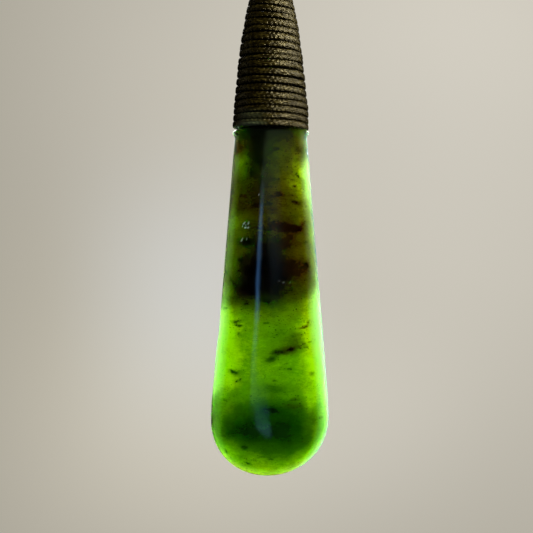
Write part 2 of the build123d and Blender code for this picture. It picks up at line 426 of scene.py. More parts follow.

# Flanks and rims, by the sine of the angle round the stone, which carry the painted glow of the light
# behind
FLANK_EDGE = (0.4, 0.98)
FLANK_VARIES = 0.1
FLANK_NOISE = (3 * MM, 15)  # size of the bumps, seed
RIM_EDGE = (0.85, 1)
RIM_LESS_RIGHT = 0.75
SIDES_MEET = 2 * MM  # half the width over which the left side's tone becomes the right's
YELLOW = 0.3  # how much yellower the painted glow makes the flanks
YELLOW_MORE_RIGHT = 0.1
YELLOW_LESS_LEFT = 0.2
YELLOW_LESSENS = (27, 33)  # mm above the tip
# Painted rim glow: the outermost flanks are painted paler, as light from behind shines through and glances
# off them
PALE_EDGE = (0.76, 1)
PALE_LEFT = 0.7
PALE_MORE_RIGHT = 0.3
PALE_BROADER_RIGHT = 0.06
PALE_BROADENS = (14 * MM, 21 * MM)  # above the tip
PALE_LESS_LEFT = 0.55
PALE_RETURNS = (10.5 * MM, 13 * MM)
PALE_SIDES_MEET = 1 * MM
PALE_LIP = (0.25, 0.7)  # shares of the lip, which carries a painted glint
PALE_LIP_EDGE = (0.95, 0.99)
BACK_EDGE = (0, 0.5)  # shares of the half depth, over which the rear takes a painted shade


def mark_distance(x, height, across, up, long, high, tilt=0):
    """The distance from an ellipse's middle in its own turned axes, as a share of its half sizes."""
    turn = math.radians(tilt)
    right = x - across * MM
    over = height - up * MM
    along = (right * math.cos(turn) + over * math.sin(turn)) / (long * MM / 100)
    upright = (over * math.cos(turn) - right * math.sin(turn)) / (high * MM / 100)
    return np.hypot(along, upright)


def strongest(rows, x, height, edge):
    """The strongest of soft ellipses at each point; they fall from full to none over the edge."""
    return np.max([
        strength / 100 * soft_fall(mark_distance(x, height, across, up, long, high, *tilt), *edge)
        for across, up, long, high, strength, *tilt in rows
    ], axis=0)


def stone_marks(points, flank):
    """How dark, how rusty, how chipped, with a painted glint, and how dusty each point of the stone is.

    A mark's cover is a core and a fainter halo, each a smooth step of the distance from the mark's middle,
    which seeded noise makes ragged. The covers add as curtains do: what is left clear is multiplied. Rust
    is their mean, weighted by darkness. The flanks are painted clearer and yellower, a painted glow of the
    light behind that passes through less stone there, and their outermost rims are darker.
    """
    x, y, z = np.moveaxis(points, -1, 0)
    height = z - TIP
    ragged_x, ragged_z, fine_x, fine_z = (
        reach * MM * wave_noise(points * (stretch, stretch, 1), size * MM, seed)
        for reach, size, stretch, seed in RAGGED
    )
    warped = (height + ZONES_RAGGED * ragged_z) / MM
    zone_height, *zones = ZONES.T
    middle, left, right, tint, rim = (np.interp(warped, zone_height, zone) / 100 for zone in zones)
    side = soft_step(x, -SIDES_MEET, SIDES_MEET)
    # Painted glow of the light behind: the flanks are made clearer and yellower
    edge = soft_step(flank + FLANK_VARIES * wave_noise(points, *FLANK_NOISE), *FLANK_EDGE)
    clear = 1 - middle + (middle - left * (1 - side) - right * side) * edge
    clear *= 1 - (1 - RIM_LESS_RIGHT * side) * rim * soft_step(flank, *RIM_EDGE)
    yellow = YELLOW + YELLOW_MORE_RIGHT * side
    yellow = yellow - YELLOW_LESS_LEFT * (1 - side) * soft_step(warped, *YELLOW_LESSENS)
    dark_sum = np.full(x.shape, CLEAR_WEIGHT)
    rust_sum = CLEAR_WEIGHT * (tint + yellow * edge)
    for across, up, long, high, dark, rust, *tilt in MARKS:
        size = min(1, high / RAGGED_HEIGHT)
        at = (x + size * ragged_x + fine_x, height + size * ragged_z + fine_z)
        flat = mark_distance(*at, across, up, long, high, *tilt)
        inwards = np.clip((y + MARK_FRONT) / (MARK_DEPTH + MARK_DEEPER * high * MM / 100), 0, None)
        distance = np.hypot(flat, inwards)
        soft = min(1, CORE_EDGE[0] + CORE_EDGE[1] * high)
        core = soft_fall(distance, 1 - soft, 1 + soft)
        cover = dark / 100 * (CORE_SHARE * core + HALO_SHARE * soft_fall(distance, 0, HALO_REACH))
        clear = np.minimum(clear * (1 - cover), 1)
        rust_sum += np.abs(cover) * rust / 100
        dark_sum += np.abs(cover)
    # Chips in the polish; their silvery glint is painted
    chip_and_glint = strongest(CHIPS_AND_GLINTS, x + CHIP_RAGGED * fine_x, height + CHIP_RAGGED * fine_z, CHIP_EDGE)
    dust = strongest(DUST, x + ragged_x, height + ragged_z, DUST_EDGE)
    return 1 - clear, np.clip(rust_sum / dark_sum, 0, 1), chip_and_glint * (y < 0), dust


def prism(outline, axis, reach):
    """A closed block: an outline (columns, 2) carried along the axis, from -reach to reach."""
    middle = outline * 0 + outline.mean(axis=0)
    rows = ((-reach, middle), (-reach, outline), (reach, outline), (reach, middle))
    points = [np.insert(row, axis, place, axis=1) for place, row in rows]
    return close_mesh(surface("cutter", np.stack(points), {}))


def drill(piece):
    """Cuts the drilled hole, from front to back, and the groove up each face of the neck for the loop."""
    turn = np.linspace(0, math.tau, HOLE_COLUMNS, endpoint=False)
    hole = HOLE_DIAMETER / 2 * np.column_stack([np.cos(turn), np.sin(turn)]) + (0, HOLE_LEVEL)
    foot = HOLE_LEVEL - GROOVE_INSET
    groove = np.array([
        (LEG_AT_HOLE - GROOVE_INSET, foot),
        (WHIP_RADIUS, foot),
        (WHIP_RADIUS, WHIP_TOP),
        (LEG_AT_TOP - GROOVE_INSET, WHIP_TOP),
    ])
    cutters = [prism(hole, 1, WHIP_RADIUS)]
    cutters += [prism(groove * (face, 1), 0, GROOVE_WIDTH / 2) for face in (-1, 1)]
    for cutter in cutters:
        cut = piece.modifiers.new("cut", "BOOLEAN")
        cut.operation = "DIFFERENCE"
        cut.solver = "MANIFOLD"
        cut.object = cutter
    graph = bpy.context.evaluated_depsgraph_get()
    whole = piece.data
    piece.data = bpy.data.meshes.new_from_object(piece.evaluated_get(graph), depsgraph=graph)
    piece.data.name = piece.name
    piece.data.materials.clear()
    piece.modifiers.clear()
    bpy.data.meshes.remove(whole)
    for cutter in cutters:
        bpy.data.objects.remove(cutter)
    return piece


def make_stone():
    """The drop and its neck: ellipses whose half width, half depth and middle follow the profile.

    The lip is a bell curve of the height, and a painted glint lies on its outermost sides. The stone's edge
    is painted pale, a rim glow of the light behind, and its rear is plainer and darker, a painted shade
    against that light.
    """
    height, width, depth, middle = (column[:, None] for column in stone_profile())
    around = np.linspace(0, math.tau, STONE_COLUMNS, endpoint=False)
    flank = np.abs(np.sin(around))
    in_drop = height < DROP_LENGTH
    lip = np.exp(-((height - DROP_LENGTH + LIP_DROP) / LIP_HALF_HEIGHT) ** 2)
    lip = lip * in_drop * soft_step(flank, *LIP_FLANK)
    x = middle + (width + SHOULDER_LIP * lip) * np.sin(around)
    y = -depth * np.cos(around)
    points = np.stack([x, y, np.broadcast_to(TIP + height, x.shape)], axis=-1)
    dark, rust, chip_and_glint, dust = stone_marks(points, flank)
    # Painted rim glow of the light behind: paler outermost flanks, broader and stronger on the right
    right = soft_step(x, -PALE_SIDES_MEET, PALE_SIDES_MEET)
    broad = PALE_BROADER_RIGHT * right * soft_step(height, *PALE_BROADENS)
    pale = soft_step(flank + broad, *PALE_EDGE) * (1 - dark) ** 2 * (PALE_LEFT + PALE_MORE_RIGHT * right)
    pale = pale * (1 - PALE_LESS_LEFT * (1 - right) * soft_fall(height, *PALE_RETURNS))
    # Painted glint on the outermost sides of the lip
    pale = np.maximum(pale, soft_step(lip, *PALE_LIP) * soft_step(flank, *PALE_LIP_EDGE))
    # Painted shade on the rear half of the drop, against the lights behind it
    back = soft_step(y / depth, *BACK_EDGE) * in_drop
    shades = {"dark": dark, "rust": rust, "pale": pale, "chip_and_glint": chip_and_glint, "dust": dust, "back": back}
    return drill(close_mesh(surface("greenstone_drop", points, shades)))


# Cord

def lengths(middle):
    """The distance along a line of points to each of them."""
    return np.concatenate([[0], np.cumsum(np.linalg.norm(np.diff(middle, axis=0), axis=1))])


def braided_tube(middle, outward, half_width, half_depth, seed, closed=False):
    """Points and attributes of a waxed cord, braided of four flat strands, round a middle line.

    The section is a flattened oval: half_depth along outward, half_width across it, with the circle's
    cosine and sine raised to powers below 1. The strands show as four rows of bumps, one in each quarter
    of the section. A bump is a cosine along the cord times a sine of twice the angle round the section.
    Neighbouring rows slant against each other, half a pick apart. Seeded noise makes the picks uneven.
    """
    run = lengths(middle)
    if closed:
        tangent = np.roll(middle, -1, axis=0) - np.roll(middle, 1, axis=0)
    else:
        tangent = np.gradient(middle, axis=0)
    tangent /= np.linalg.norm(tangent, axis=1, keepdims=True)
    outward = outward - tangent * np.sum(outward * tangent, axis=1, keepdims=True)
    outward /= np.linalg.norm(outward, axis=1, keepdims=True)
    along = np.cross(outward, tangent)
    even = np.linspace(-math.pi, math.pi, CORD_SIDES, endpoint=False)
    angle = even - SIDES_CROWD * np.sin(even)
    cosine, sine = (
        np.sign(side) * np.abs(side) ** power
        for side, power in zip((np.cos(angle), np.sin(angle)), OVAL_POWERS)
    )
    picks = round(run[-1] / PICK_LENGTH)
    fade = np.sin(math.pi * run / run[-1]) if closed else 1
    wander = PICK_WANDER * fade * line_noise(run, PICK_NOISE, seed)
    travel = (math.tau * picks * run / run[-1] + wander)[:, None]
    wave = 0
    for slant, start in ((1, 0), (-1, math.pi)):
        row = (0.5 + slant * 0.5 * np.sin(2 * angle)) ** ROW_POWER
        wave = wave + row * (0.5 + 0.5 * np.cos(travel + start + slant * 2 * angle))
    uneven = (RELIEF_MEAN + RELIEF_VARIES * line_noise(run, RELIEF_NOISE, seed + 1))[:, None]
    lift = BRAID_RELIEF * uneven * (wave - RELIEF_LEVEL)
    points = (
        middle[:, None, :]
        + outward[:, None, :] * ((half_depth + lift) * cosine)[..., None]
        + along[:, None, :] * ((half_width + lift / 2) * sine)[..., None]
    )
    attributes = {
        "wave": wave,
        "run": np.broadcast_to(run[:, None] / MM, wave.shape),
        "round": np.broadcast_to(angle * CORD_DIAMETER / 2 / MM, wave.shape),
        # Painted shade towards where two turns meet
        "crease_shade": np.broadcast_to(soft_step(np.abs(angle), *CREASE_SHADE_EDGE), wave.shape),
    }
    return points, attributes


def turn_edges(turn):
    """The height above the shoulder of the lower edge of the cord, at a turn counted at the front."""
    edges = np.concatenate([[0], np.cumsum(TURNS[:, 0])])
    edges *= WHIP_HEIGHT / edges[-1]
    return np.interp(turn, np.arange(len(edges)), edges)


def make_whipping():
    """The whipping: one cord that climbs to the left across the front, each turn resting on the last.

    The middle line is a helix whose height follows the turns as they were wound, and whose radius follows
    the profile. A turn leans by a sine of the angle round it, and noise lets turns stand proud or apart.
    """
    turns = len(TURNS)
    start, stop = WHIP_START, turns - WHIP_END
    turn = np.linspace(start, stop, WHIP_ROWS)
    around = -math.tau * turn
    run = -around * MEAN_RADIUS
    gaps = np.append(TURNS[:, 1], 0)
    gap_low, gap_high = (np.interp(at, np.arange(turns + 1), gaps) for at in (turn, turn + 1))
    pressed = soft_step(np.abs(np.sin(around)), *PRESSED_SIDES) * soft_step(turn, *PRESSED_TURNS)
    uneven = (1 + GAP_VARIES * line_noise(run, *GAP_NOISE)) * (1 - PRESSED_GAP * pressed)
    low = turn_edges(turn) + np.minimum(turn, 0) * START_SLOPE + gap_low / 2 * uneven
    high = turn_edges(turn + 1) - gap_high / 2 * uneven
    height = (low + high) / 2
    half_width = (high - low) / 2 + TURN_PRESS
    inside = np.clip(height / CALM_END, 0, 1) * np.clip((WHIP_HEIGHT - height) / CALM_END, 0, 1)
    lean_height, lean_size = TURN_LEANS.T
    leaned = height - np.interp(height / MM, lean_height, lean_size) * MM * np.sin(around)
    leaned = leaned + LEVEL_VARIES * inside * line_noise(run, *LEVEL_NOISE)
    level = np.clip(leaned, half_width - START_SINK, WHIP_HEIGHT - half_width)
    tucked = 1 - np.clip((turn - start) / TUCK_TURNS, 0, 1) * np.clip((stop - turn) / TUCK_TURNS, 0, 1)
    radius = whip_outer(leaned) - CORD_DIAMETER / 2 + RADIUS_VARIES * line_noise(run, *RADIUS_NOISE)
    radius = radius - tucked * TUCK_DEPTH
    middle = np.stack([radius * np.sin(around), -radius * np.cos(around), SHOULDER + level], axis=-1)
    slope = (whip_outer(leaned + SLOPE_REACH) - whip_outer(leaned - SLOPE_REACH)) / (2 * SLOPE_REACH)
    outward = np.stack([np.sin(around), -np.cos(around), -slope], axis=-1)
    points, attributes = braided_tube(middle, outward, half_width[:, None], CORD_DIAMETER / 2, 31)
    x, y, z = np.moveaxis(points, -1, 0)
    # Painted green glow of the stone on the lowest turns, at the front left
    stone_glow_share = sum(strength * soft_fall(z - SHOULDER, *heights) for strength, *heights in STONE_GLOW_ON_CORD)
    attributes["stone_glow_tint"] = stone_glow_share * soft_step(x, *STONE_GLOW_LEFT) * soft_fall(x, *STONE_GLOW_RIGHT) * (y < 0)
    points = np.pad(points, ((1, 1), (0, 0), (0, 0)), "edge")
    points[[0, -1]] = points[[0, -1]].mean(axis=1, keepdims=True)
    attributes = {key: np.pad(value, ((1, 1), (0, 0)), "edge") for key, value in attributes.items()}
    return close_mesh(surface("whipping_cord", points, attributes))


def closed_curve(corners, steps):
    """A closed cubic B-spline: each point is a blend of four neighbouring corners."""
    t = np.linspace(0, 1, steps, endpoint=False)[:, None]
    blends = ((1 - t) ** 3, 3 * t**3 - 6 * t**2 + 4, -3 * t**3 + 3 * t**2 + 3 * t + 1, t**3)
    parts = [blend * np.roll(corners, 1 - k, axis=0)[:, None] for k, blend in enumerate(blends)]
    return (sum(parts) / 6).reshape(-1, 2)


def even_spacing(points, count):
    """Points at equal distances along a closed line."""
    whole = np.concatenate([points, points[:1]])
    run = lengths(whole)
    at = np.linspace(0, run[-1], count, endpoint=False)
    return np.stack([np.interp(at, run, line) for line in whole.T], axis=-1)


def make_loop():
    """The hanging loop: two strands side by side along one closed route in the YZ plane."""
    half = np.array(LOOP_ROUTE) * MM
    corners = np.concatenate([half, half[-2:0:-1] * (-1, 1)])
    route = even_spacing(closed_curve(corners, SPLINE_STEPS), LOOP_ROWS)
    rise = np.roll(route, -1, axis=0) - np.roll(route, 1, axis=0)
    outward = np.stack([rise[:, 0] * 0, rise[:, 1], -rise[:, 0]], axis=-1)
    turn = np.linspace(0, math.tau, LOOP_ROWS, endpoint=False)
    half_size = STRAND_DIAMETER / 2
    strands = []
    for side, seed in ((-1, 41), (1, 51)):
        across = side * STRAND_SPACING / 2 + STRAND_SWAY * np.sin(SWAYS * turn + seed)
        middle = np.column_stack([across, route])
        points, attributes = braided_tube(middle, outward, half_size, half_size, seed, closed=True)
        strands.append(close_mesh(surface("loop_strand", points, attributes, closed_rows=True)))
    return join("loop_cord", strands)


def join(name, pieces):
    """Joins meshes into the first of them."""
    first, *others = pieces
    work = bmesh.new()
    for piece in pieces:
        work.from_mesh(piece.data)
    work.to_mesh(first.data)
    work.free()
    for piece in others:
        bpy.data.objects.remove(piece)
    first.name = first.data.name = name
    return first


# Shader expressions

class Value:
    """A shader socket that adds, subtracts and multiplies with numbers and other sockets."""

    def __init__(self, maker, socket):
        self.maker = maker
        self.socket = socket

    def math(self, operation, *others):
        inputs = dict(enumerate((self,) + others))
        return self.maker.node("ShaderNodeMath", {"operation": operation}, inputs)

    def __add__(self, other):
        return self.math("ADD", other)

    __radd__ = __add__

    def __sub__(self, other):
        return self.math("SUBTRACT", other)

    def __rsub__(self, other):
        return self.math("MULTIPLY_ADD", -1, other)

    def __mul__(self, other):
        return self.math("MULTIPLY", other)

    __rmul__ = __mul__

    def clamp(self):
        return self.maker.node("ShaderNodeClamp", {}, {0: self})

    def step(self, low, high):
        """0 below low and 1 above high, smooth between them."""
        settings = {"interpolation_type": "SMOOTHSTEP"}
        return self.maker.node("ShaderNodeMapRange", settings, {0: self, 1: low, 2: high})


class Maker:
    """Adds nodes to a new material."""

    def __init__(self, name):
        self.material = bpy.data.materials.new(name)
        self.material.use_nodes = True
        self.tree = self.material.node_tree
        self.shader = self.tree.nodes["Principled BSDF"]

    def node(self, kind, settings, inputs, output=0):
        """Adds a node: settings first, then values or links of its sockets, by name or place."""
        node = self.tree.nodes.new(kind)
        for key, value in settings.items():
            setattr(node, key, value)
        for key, value in inputs.items():
            self.put(node.inputs[key], value)
        return Value(self, node.outputs[output])

    def put(self, socket, value):
        if isinstance(value, Value):
            self.tree.links.new(value.socket, socket)
        else:
            socket.default_value = value

    def ramp(self, value, stops):
        colour = self.node("ShaderNodeValToRGB", {}, {0: value})
        elements = colour.socket.node.color_ramp.elements
        while len(elements) < len(stops):
            elements.new(1)
        for element, (place, shade) in zip(elements, stops):
            element.position = place
            element.color = (*shade, 1)
        return colour

    def mix(self, factor, first, second, blend="MIX"):
        settings = {"data_type": "RGBA", "blend_type": blend}
        return self.node("ShaderNodeMix", settings, {0: factor, 6: first, 7: second}, output=2)

    def attributes(self, *names):
        kind = "ShaderNodeAttribute"
        return [self.node(kind, {"attribute_name": name}, {}, output=2) for name in names]

    def place(self, scale=(1, 1, 1), turn=(0, 0, 0)):
        """Object coordinates in millimetres, stretched and turned."""
        position = self.node("ShaderNodeTexCoord", {}, {}, output=3)
        size = tuple(s / MM for s in scale)
        return self.node("ShaderNodeMapping", {}, {0: position, 2: turn, 3: size})

    def noise(self, place, size, detail, roughness):
        inputs = {"Vector": place, "Scale": 1 / size, "Detail": detail, "Roughness": roughness}
        return self.node("ShaderNodeTexNoise", {}, inputs)

    def cells(self, place, size):
        """The distance to the nearest of the scattered points, 0 at a point."""
        return self.node("ShaderNodeTexVoronoi", {}, {"Vector": place, "Scale": 1 / size})

    def bump(self, height, distance):
        return self.node("ShaderNodeBump", {}, {"Distance": distance, "Height": height})

    def finish(self, **sockets):
        for key, value in sockets.items():
            self.put(self.shader.inputs[key.replace("_", " ")], value)
        return self.material


def greenstone():
    """Polished nephrite: clear lime green, clouded and darkened by marks, with rust round some of them."""
    m = Maker("greenstone")
    dark, rust, pale, chip_and_glint, dust, back = m.attributes("dark", "rust", "pale", "chip_and_glint", "dust", "back")
    blotch = m.noise(m.place((0.7, 0.7, 1.3)), 1.6, 4, 0.6)
    grain = m.noise(m.place((0.7, 0.7, 1.7)), 0.45, 3, 0.65)
    fine = m.noise(m.place((0.8, 0.8, 1.4)), 0.2, 2, 0.6)
    flecks = m.cells(m.place((0.7, 1, 1.6)), 0.75).step(0.17, 0.05)
    specks = m.cells(m.place((0.8, 1, 1.5), (0.3, 0.2, 0.1)), 0.42).step(0.2, 0.08)
    where = m.noise(m.place(), 2.6, 1, 0.5).step(0.38, 0.58)
    strength = 0.52 + rust * 0.34 - dark * 0.24
    cloud = ((blotch - 0.5) * 0.55 + (grain - 0.5) * 0.5 + (fine - 0.5) * 0.34).math("MAXIMUM", -0.1)
    scatter = (where * 0.7 + dust * 1.6) * (1 - dark * 0.7)
    tone = (dark + cloud * strength + (flecks * 0.52 + specks * 0.42) * scatter).clamp()
    green = m.ramp(tone, [
        (0, (0.175, 0.365, 0)),
        (0.25, (0.052, 0.176, 0)),
        (0.5, (0.012, 0.071, 0)),
        (0.75, (0.0022, 0.025, 0)),
        (0.92, (0.0008, 0.003, 0.001)),
        (1, (0, 0, 0.0002)),
    ])
    brown = m.ramp(tone, [
        (0, (0.27, 0.27, 0)),
        (0.25, (0.12, 0.105, 0)),
        (0.5, (0.055, 0.034, 0)),
        (0.75, (0.022, 0.007, 0)),
        (0.92, (0.006, 0.0012, 0.0004)),
        (1, (0.0006, 0, 0)),
    ])
    colour = m.mix(rust, green, brown)
    # Painted rim glow on the outermost flanks
    pale_colour = m.mix(rust, (0.145, 0.3, 0.14, 1), (0.19, 0.28, 0.16, 1))
    colour = m.mix(pale, colour, pale_colour)
    # Painted silvery glint of the chips
    colour = m.mix(chip_and_glint, colour, (0.23, 0.27, 0.29, 1))
    # Painted shade on the rear, against the lights behind the stone
    colour = m.mix(back, colour, (0.16, 0.14, 0.16, 1), "MULTIPLY")
    ripple = m.noise(m.place(), 2.5, 1, 0.5)
    scuffs = m.noise(m.place(), 0.12, 2, 0.6)
    surface_bump = m.bump(ripple * 0.5 + scuffs * (0.02 + chip_and_glint * 1.5), 0.03 * MM)
    return m.finish(
        Base_Color=colour,
        Roughness=0.09 + chip_and_glint * 0.3,
        IOR=1.61,
        Subsurface_Weight=1,
        Subsurface_Radius=(0.7, 1, 0.3),
        Subsurface_Scale=15 * MM,
        Normal=surface_bump,
    )


def waxed_cord():
    """Waxed cord: olive brown strands, dark between them, whose wax catches the light in small glints."""
    m = Maker("waxed_cord")
    wave, run, around, stone_glow_tint, crease_shade = m.attributes("wave", "run", "round", "stone_glow_tint", "crease_shade")
    strand = m.noise(m.place(), 0.6, 3, 0.6)
    streak_place = m.node("ShaderNodeCombineXYZ", {}, {0: run * 0.28, 1: around * 2.4})
    streak = m.noise(streak_place, 0.5, 3, 0.6)
    slant = run * 0.75 + around * 0.9
    fibre_place = m.node("ShaderNodeCombineXYZ", {}, {0: slant, 1: around * 2.2, 2: 7})
    fibre = m.noise(fibre_place, 0.4, 2, 0.6)
    light = wave * 0.2 + (strand - 0.5) * 0.9 + (streak - 0.5) * 2.2 + (fibre - 0.5) * 1.4 + 0.34
    colour = m.ramp(light.clamp(), [
        (0, (0.002, 0.0014, 0.0003)),
        (0.45, (0.017, 0.0138, 0.0034)),
        (1, (0.085, 0.075, 0.024)),
    ])
    # Painted shade towards where two turns meet
    colour = m.mix(crease_shade, colour, (0.1, 0.08, 0.06, 1), "MULTIPLY")
    # Painted green glow of the stone on the lowest turns
    colour = m.mix(stone_glow_tint, colour, (0.16, 0.23, 0.19, 1))
    height = wave * 0.5 + streak * 1.1 + fibre
    return m.finish(
        Base_Color=colour,
        Roughness=0.38 - fibre * 0.28,
        IOR=1.46,
        Specular_IOR_Level=0.75,
        Normal=m.bump(height, 0.11 * MM),
    )


# Pieces

stone = make_stone()
stone.data.materials.append(greenstone())
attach(stone, "root")
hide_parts("jade_drop")

whipping = make_whipping()
whipping.data.materials.append(waxed_cord())
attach(whipping, "root")
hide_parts("cord_whipping")

loop = make_loop()
loop.data.materials.append(whipping.data.materials[0])
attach(loop, "root")
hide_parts("hanging_loop")


# Stage

CAMERA_PLACE = (-0.61 * MM, -158.6 * MM, -50.5 * MM)
FLOOR_LEVEL = -0.17
SWEEP_RADIUS = 0.75
SWEEP_BEND = 0.3
SWEEP_HEIGHT = 0.9
SWEEP_ROWS = 24  # in the floor and again in the bend
WALL_ROWS = 50
STAGE_COLUMNS = 480
SCREEN_RADIUS = 0.4
SCREEN_FINE = (-20, 14)  # between these elevations its rows lie close
SCREEN_FINE_ROWS = 103
SCREEN_ROWS = 20
MIDDLE = (0, 0, -0.045)
WHIP_MIDDLE = (0, 0, -0.02)
GLOW = ("red", "green", "blue")  # attributes of the sweep and the screen


def make_sweep():
    """The floor and wall in one: a level run, a quarter circle and an upright run, turned about Z.

    It glows as a light tent does, evenly but for the soft patches of BACKDROP, as the camera sees them.
    """
    quarter = np.linspace(0, math.pi / 2, SWEEP_ROWS)
    flat = np.linspace(0, SWEEP_RADIUS - SWEEP_BEND, SWEEP_ROWS)[:-1]
    bend = SWEEP_RADIUS - SWEEP_BEND * (1 - np.sin(quarter))
    wall = np.linspace(SWEEP_BEND, SWEEP_HEIGHT, WALL_ROWS)[1:]
    radius = np.concatenate([flat, bend, wall * 0 + SWEEP_RADIUS])[:, None]
    level = np.concatenate([flat * 0, SWEEP_BEND * (1 - np.cos(quarter)), wall])[:, None]
    around = np.linspace(0, math.tau, STAGE_COLUMNS, endpoint=False)
    x = radius * np.sin(around)
    points = np.stack([x, radius * np.cos(around), x * 0 + FLOOR_LEVEL + level], axis=-1)
    x, y, z = np.moveaxis(points - CAMERA_PLACE, -1, 0)
    azimuth = np.degrees(np.arctan2(x, y))
    elevation = np.degrees(np.arctan2(z, np.hypot(x, y)))
    glow = patches(azimuth, elevation, BACKDROP)
    return surface("sweep", points, dict(zip(GLOW, glow / 100)))


def glowing(name):
    """A paint that glows in the colours of the mesh's attributes and lights nothing by itself."""
    m = Maker(name)
    glow = m.node("ShaderNodeCombineColor", {}, dict(enumerate(m.attributes(*GLOW))))
    material = m.finish(
        Base_Color=(0, 0, 0, 1), Specular_IOR_Level=0, Emission_Color=glow, Emission_Strength=1
    )
    material.cycles.emission_sampling = "NONE"
    return material


def area_light(name, place, target, size, power, colour, receivers, glossy):
    """A soft light of the size given as width and height, aimed from place to target.

    It lights only its receivers, and the camera doesn't see it.
    """
    data = bpy.data.lights.new(name, "AREA")
    data.shape = "RECTANGLE"
    data.size, data.size_y = size
    data.energy = power
    data.color = colour
    light = bpy.data.objects.new(name, data)
    bpy.context.scene.collection.objects.link(light)
    light.location = place
    light.rotation_euler = (Vector(target) - Vector(place)).to_track_quat("-Z", "Y").to_euler()
    light.visible_camera = False
    light.visible_glossy = glossy
    light_only(light, receivers)
    return light


def light_only(light, receivers):
    """Lets a light, or a glowing mesh, light only its receivers."""
    group = bpy.data.collections.new(light.name + "_receivers")
    for piece in receivers:
        group.objects.link(piece)
    light.light_linking.receiver_collection = group


def around_front(azimuth, elevation, distance, level=MIDDLE[2]):
    """Points at a distance from the stone, azimuth degrees to the right of the camera's line."""
    side, rise = np.radians(azimuth), np.radians(elevation)
    reach = distance * np.cos(rise)
    return np.stack([reach * np.sin(side), -reach * np.cos(side), level + distance * np.sin(rise)], axis=-1)


# What the polish reflects: a narrow window on the left, whose foot widens, and a faint broad one in the
# middle, each a stack of rows, and patches round them
WINDOW = np.array([
    # elevation, left azimuth, right azimuth, left edge, right edge, red, green, blue in percent
    (-32, -6, 3.5, 5, 3, 0, 0, 0), (-28, -6.5, 3, 5, 3, 8, 22, 25), (-26, -8, 2.5, 5, 4, 15, 48, 52),
    (-18, -16, 1, 6, 4, 20, 62, 64), (-10.4, -18, 0, 6, 5, 12, 38, 45),
    (-9.2, -18.5, -4, 6, 10, 8, 24, 40), (-8.7, -21.5, -10, 5, 24, 7, 20, 36),
    (-8, -26, -14, 4, 24, 8, 22, 34), (-7.3, -25.2, -18, 4, 18, 20, 45, 31),
    (-6.3, -26.8, -20, 4, 10, 22, 40, 29), (-5.2, -27.8, -22, 5, 6, 27, 45, 36),
    (-4, -26.2, -20.8, 4, 6, 35, 75, 58), (-2.5, -26.2, -21.2, 4, 6, 20, 46, 34),
    (-1.9, -26, -19.8, 4, 6, 45, 120, 160), (-1.1, -25.6, -19.7, 4, 6, 50, 140, 300),
    (-0.4, -26, -20, 4, 6, 35, 100, 230), (0.3, -26.5, -21.2, 5, 6, 28, 80, 190),
    (1.7, -26.6, -20.3, 5, 7, 28, 80, 190), (2.3, -26.4, -18.8, 5, 8, 28, 70, 145),
    (3, -26, -18.8, 5, 7, 55, 115, 195), (4.4, -24.4, -18.8, 5, 5, 66, 135, 205),
    (5.2, -23.4, -17.6, 5, 4, 60, 130, 200), (5.8, -24.6, -15.6, 8, 6, 30, 62, 72),
    (6.6, -23.5, -15, 8, 6, 14, 30, 30), (7.3, -23, -15, 5, 6, 4, 10, 9), (8, -23, -15, 5, 6, 0, 0, 0),
])
HAZE = np.array([
    # as in WINDOW
    (-2.5, -4, 14, 10, 16, 0, 0, 0), (-1.2, -2, 14, 10, 16, 2, 4, 4), (0.3, 1, 20, 20, 34, 5, 8, 8),
    (1.6, 0, 18, 20, 42, 8, 12, 17), (3, -5, 17, 18, 42, 10, 15, 18), (4.4, -6, 17, 14, 38, 12, 17, 14),
    (5.8, -15, 17, 4, 26, 16, 25, 15), (7.2, -17, 22, 6, 18, 18, 30, 15),
    (8.3, -19, 22, 8, 20, 15, 20, 12), (9.4, -18, 50, 12, 60, 18, 27, 13),
    (10.3, -10, 70, 26, 60, 14, 22, 11), (12.5, -6, 80, 30, 60, 10, 16, 9),
    (16, -6, 80, 30, 60, 0, 0, 0),
])
REFLECTIONS = [
    # azimuth, elevation, half width, half height, edge across, edge upright, colour in percent
    (148, 0, 20, 40, 0.5, 0.5, (24, 72, 76)),
    (-150, -4.4, 20, 1.7, 0.5, 0.4, (12, 40, 40)),
    (-150, 8, 24, 9, 0.4, 0.3, (10.2, 17, 8.5)),
    (172, 21, 14, 11, 0.3, 0.2, (450, 500, 500)),
    (-172, 21, 14, 11, 0.3, 0.2, (450, 500, 500)),
    (180, -55, 60, 20, 0.5, 0.5, (18, 20, 12)),
]

# The glow of the sweep: an even tone and broad soft patches on it
BACKDROP = [
    # as in REFLECTIONS
    (0, 0, 999, 999, 0.1, 0.1, (39, 36.5, 30.2)),
    (180, 0, 145, 999, 0.08, 0.1, (19, 18.5, 18)),
    (0, -70, 999, 40, 0.1, 0.2, (15, 14.5, 14)),
    (9, 6, 14, 16, 1, 1, (22.5, 21.8, 20.5)),
    (12, 13, 9, 6, 1, 1, (7, 6.6, 6)),
    (8, 7.5, 7, 4, 1, 1, (-3, -2.8, -2.4)),
    (-3.6, -1.6, 4.2, 5, 1, 1, (7, 9.5, 13.5)),
    (-7, -6, 6, 6, 1, 1, (7.5, 6.8, 4.8)),
    (-6.5, 11, 7, 8, 1, 1, (4.8, 4.6, 4.2)),
    (-2.5, -10.5, 8, 5, 1, 1, (8.5, 8.2, 7.6)),
    (5, -7, 5, 3.5, 1, 1, (3.5, 3.4, 3.2)),
]


